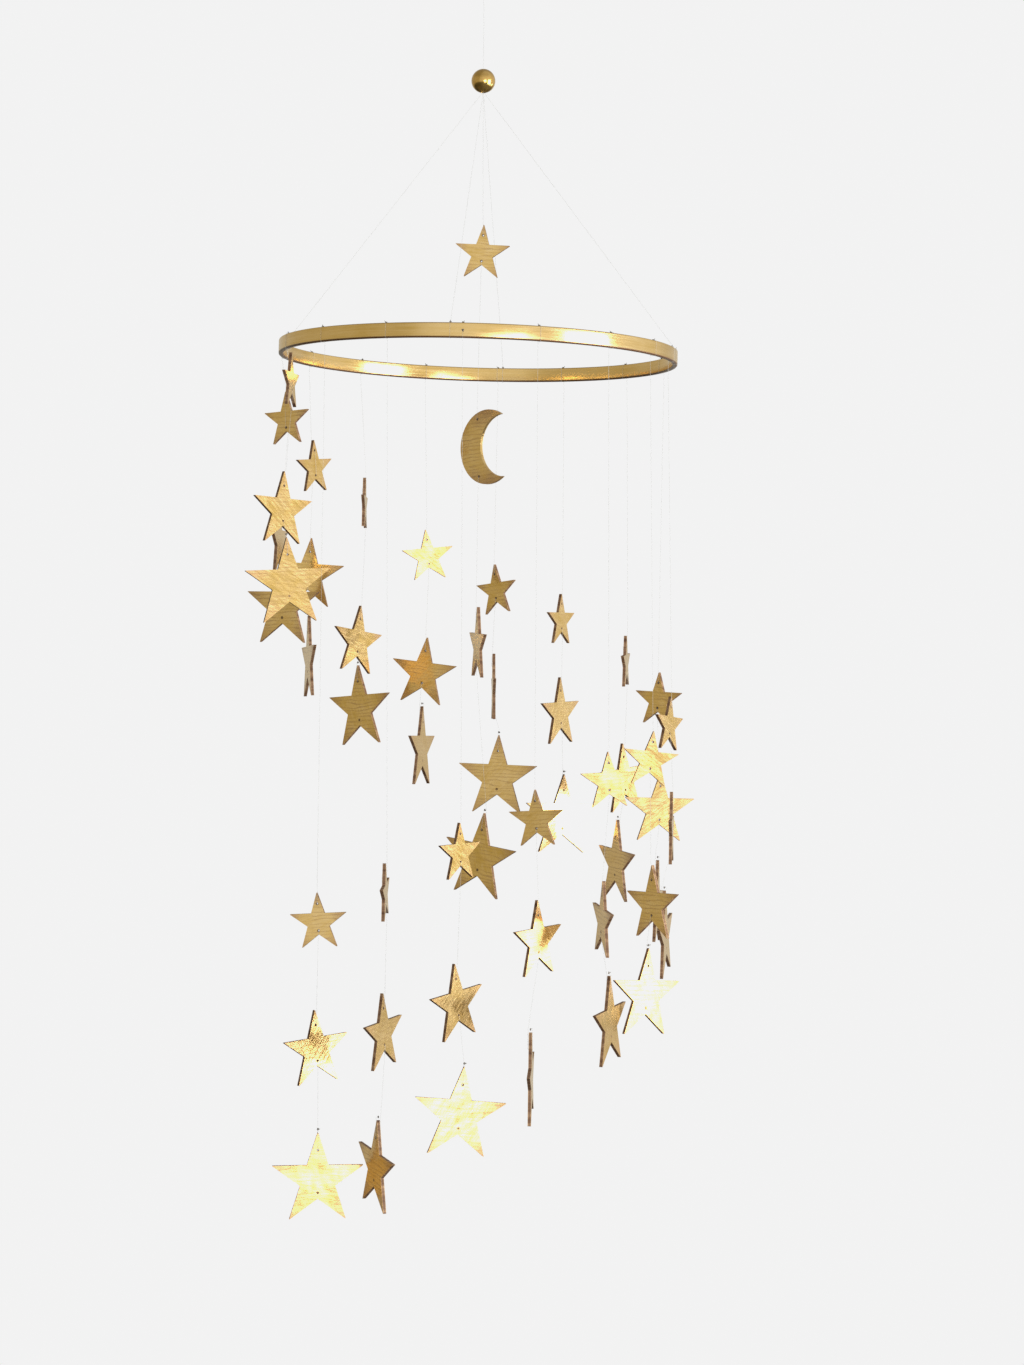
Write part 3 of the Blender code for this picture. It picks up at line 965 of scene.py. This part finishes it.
def makeThread(name, points, nodes=()):
    curve = bpy.data.curves.new(name, "CURVE")
    curve.dimensions = "3D"
    curve.bevel_depth = thread["width"] / 2
    curve.bevel_resolution = thread["roundness"]
    curve.use_fill_caps = True
    spline = curve.splines.new("POLY")
    spline.points.add(len(points) - 1)
    for point, place in zip(spline.points, points):
        point.co = (*place, 1)
    curve.materials.append(finishes["thread"])
    piece = addPiece(name, curve, "thread", *nodes)
    length = sum((b - a).length for a, b in zip(points, points[1:]))
    tuple(points[0])


def crossing(place, hole, fromSide):
    x, y = hole
    side = standOff * fromSide
    return [place @ Vector((x, y, side)), place @ Vector((x, y, -side))]


def laced(place, topHole, lowHole, fromSide=1):
    return crossing(place, topHole, fromSide) + crossing(place, lowHole, -fromSide)


def tied(place, reach):
    top = reach * plate["topHole"]
    rise = reach + thread["tieRise"]
    above = place @ Vector((0, rise, -standOff))
    end = place @ Vector((0, rise, standOff - thread["clearance"]))
    return [above] + crossing(place, (0, top), -1) + [end]


def starHoles(reach):
    return (0, reach * plate["topHole"]), (0, -reach * plate["lowHole"])


knotPlaces, tiePlaces = [], []


def makeStarThreads():
    half = hoop["wall"] / 2 + thread["clearance"] / 2 + thread["width"] / 2
    over = hoop["height"] / 2 + thread["clearance"] / 2 + thread["width"] / 2
    for number, (angle, *_) in enumerate(starLines, 1):
        turned = hoopPlace @ Matrix.Rotation(math.radians(angle), 4, "Z")
        place = turned @ Matrix.Translation((bandRadius, 0, 0))
        if number == hoop["drilledLine"]:
            route = ((0, 0, over), (-half, 0, over), (-half, 0, 0), (half, 0, 0), (half, 0, -over))
            # a dark knot hangs from the hole, its tail down the outer face: in part painted shadow below the
            # hole
            upright = Matrix.Rotation(math.pi / 2, 4, "Y")
            knotPlaces.append(place @ Matrix.Translation((half, 0, 0)) @ upright)
        else:
            side = half if angle > 0 or angle < thread["outside"] else -half
            route = ((0, 0, over), (side, 0, over), (side, 0, -over))
            tiePlaces.append(place @ Matrix.Translation((0, thread["width"] * thread["tieAside"], 0)))
        corners = [place @ Vector(spot) for spot in route]
        for size in ("small", "medium"):
            fromSide = -1 if (number, size) in thread["inFront"] else 1
            corners += laced(starPlaces[size][number - 1][1], *starHoles(plate[size]), fromSide)
        large = starPlaces["large"][number - 1][1]
        corners += tied(large, plate["large"])
        makeThread(f"starThread{number:02d}", bentRoute(corners))
        twist = Matrix.Rotation(angle * knot["twist"], 4, "Z")
        knotPlaces.append(place @ Matrix.Translation((0, 0, over)) @ twist)
        knotPlaces.append(large @ Matrix.Translation((0, plate["large"] + thread["tieRise"], 0)))


def makeMiddleThread():
    corners = [beadCentre - Vector((0, 0, thread["clearance"])), beadCentre - Vector((0, 0, bead["width"]))]
    corners += laced(starPlaces["small"][-1][1], *starHoles(plate["small"]))
    holes = [(moon["holeAside"], side * moon["holeRise"]) for side in (1, -1)]
    corners += laced(moonPlace, *holes)
    corners += laced(starPlaces["medium"][-1][1], *starHoles(plate["medium"]))
    large = starPlaces["large"][-1][1]
    corners += tied(large, plate["large"])
    makeThread("middleThread", bentRoute(corners), ("centre_thread",))
    knotPlaces.append(large @ Matrix.Translation((0, plate["large"] + thread["tieRise"], 0)))


def makeSuspension():
    over = hoop["height"] / 2 + thread["clearance"] + thread["width"] / 2
    for i in range(hanging["threads"]):
        angle = math.radians(hanging["firstThread"]) + 2 * math.pi * i / hanging["threads"]
        outward = Vector((math.cos(angle), math.sin(angle), 0))
        inBore = beadCentre + outward * thread["ring"]
        below = inBore - Vector((0, 0, bead["width"] / 2 + thread["clearance"]))
        onHoop = hoopPlace @ (outward * bandRadius + Vector((0, 0, over)))
        route = bentRoute([inBore, below, onHoop])
        makeThread(f"suspensionThread{i + 1}", route, (f"suspension_thread_{i + 1}",))
        knotPlaces.append(Matrix.Translation(onHoop) @ Matrix.Rotation(angle, 4, "Z"))
        onBand = Matrix.Rotation(angle, 4, "Z") @ Matrix.Translation((bandRadius, 0, 0))
        tiePlaces.append(hoopPlace @ onBand)


def makeHangingLoop():
    foot = Vector((0, 0, -hanging["loop"]))
    width, half, steps = thread["width"], hanging["loopWidth"] / 2, hanging["loopSteps"]
    points = [foot + Vector((2 * width, 0, width))]
    for i in range(steps + 1):
        angle = math.pi * i / steps
        points.append(Vector((half * math.cos(angle), 0, width / 2 - half + half * math.sin(angle))))
    points += [foot, beadCentre + Vector((0, 0, thread["clearance"]))]
    makeThread("hangingLoop", points, ("hanging_loop",))
    knotPlaces.append(Matrix.Translation(foot))


makeStarThreads()
makeMiddleThread()
makeSuspension()
makeHangingLoop()
print("mobile: threads,", len(knotPlaces), "knots to tie")


def knotGrowth():
    growth = Growth("thread knots", size="Float", width="Float", tail="Float", paint="Material")
    ring = growth.circle(knot["steps"], 1.0)
    turn = growth.node("GeometryNodeSplineParameter") * (2 * math.pi)
    swell = growth.function("COSINE", turn * 3) + 2  # a trefoil
    size = growth.given("size") * knot["lobe"]
    x = swell * growth.function("COSINE", turn * 2) * size
    y = swell * growth.function("SINE", turn * 2) * size
    z = growth.function("SINE", turn * 3) * size
    sockets = {"Geometry": ring, "Position": growth.together(x, y, z)}
    tangle = growth.node("GeometryNodeSetPosition", {}, sockets)
    tail = growth.given("tail")
    middle = growth.together(tail * 0.5, 0.0, tail * 0.2)
    tip = growth.together(tail * 0.8, tail * 0.2, tail * 0.7)
    sockets = {"Resolution": knot["tailSteps"], "Start": (0, 0, 0), "Middle": middle, "End": tip}
    end = growth.node("GeometryNodeCurveQuadraticBezier", {}, sockets)
    strand = growth.circle(thread["sides"], growth.given("width") * 0.5)
    strands = growth.swept(growth.joined(tangle, end), strand, True)
    growth.ended(growth.painted(growth.real(growth.planted(strands)), "paint"))
    return growth


def makeKnots():
    sizes = {"size": knot["size"], "width": thread["width"], "tail": knot["tail"]}
    mesh = knotGrowth().grow("threadKnots", knotPlaces, paint=finishes["knot"], **sizes)
    mesh.shade_smooth()
    addPiece("threadKnots", mesh, "thread")
    print("mobile: knots,", len(mesh.polygons), "faces")


makeKnots()


def tieGrowth():
    growth = Growth("band ties", across="Float", height="Float", strand="Float", paint="Material")
    loop = growth.rectangle(growth.given("across"), growth.given("height"))
    loop = growth.rounded(loop, thread["tieSteps"], growth.given("strand") * 2)
    loop = growth.moved(loop, turn=(math.pi / 2, 0, 0))
    strand = growth.circle(thread["sides"], growth.given("strand") * 0.5)
    ties = growth.real(growth.planted(growth.swept(loop, strand)))
    growth.ended(growth.painted(ties, "paint"))
    return growth


def makeTies():
    slack = thread["width"] + thread["clearance"] * thread["tieSlack"]
    sizes = {"across": hoop["wall"] + slack, "height": hoop["height"] + slack, "strand": thread["width"]}
    mesh = tieGrowth().grow("bandTies", tiePlaces, paint=finishes["thread"], **sizes)
    mesh.shade_smooth()
    addPiece("bandTies", mesh, "thread")
    print("mobile: ties round the hoop,", len(tiePlaces))


makeTies()

print("mobile: done")
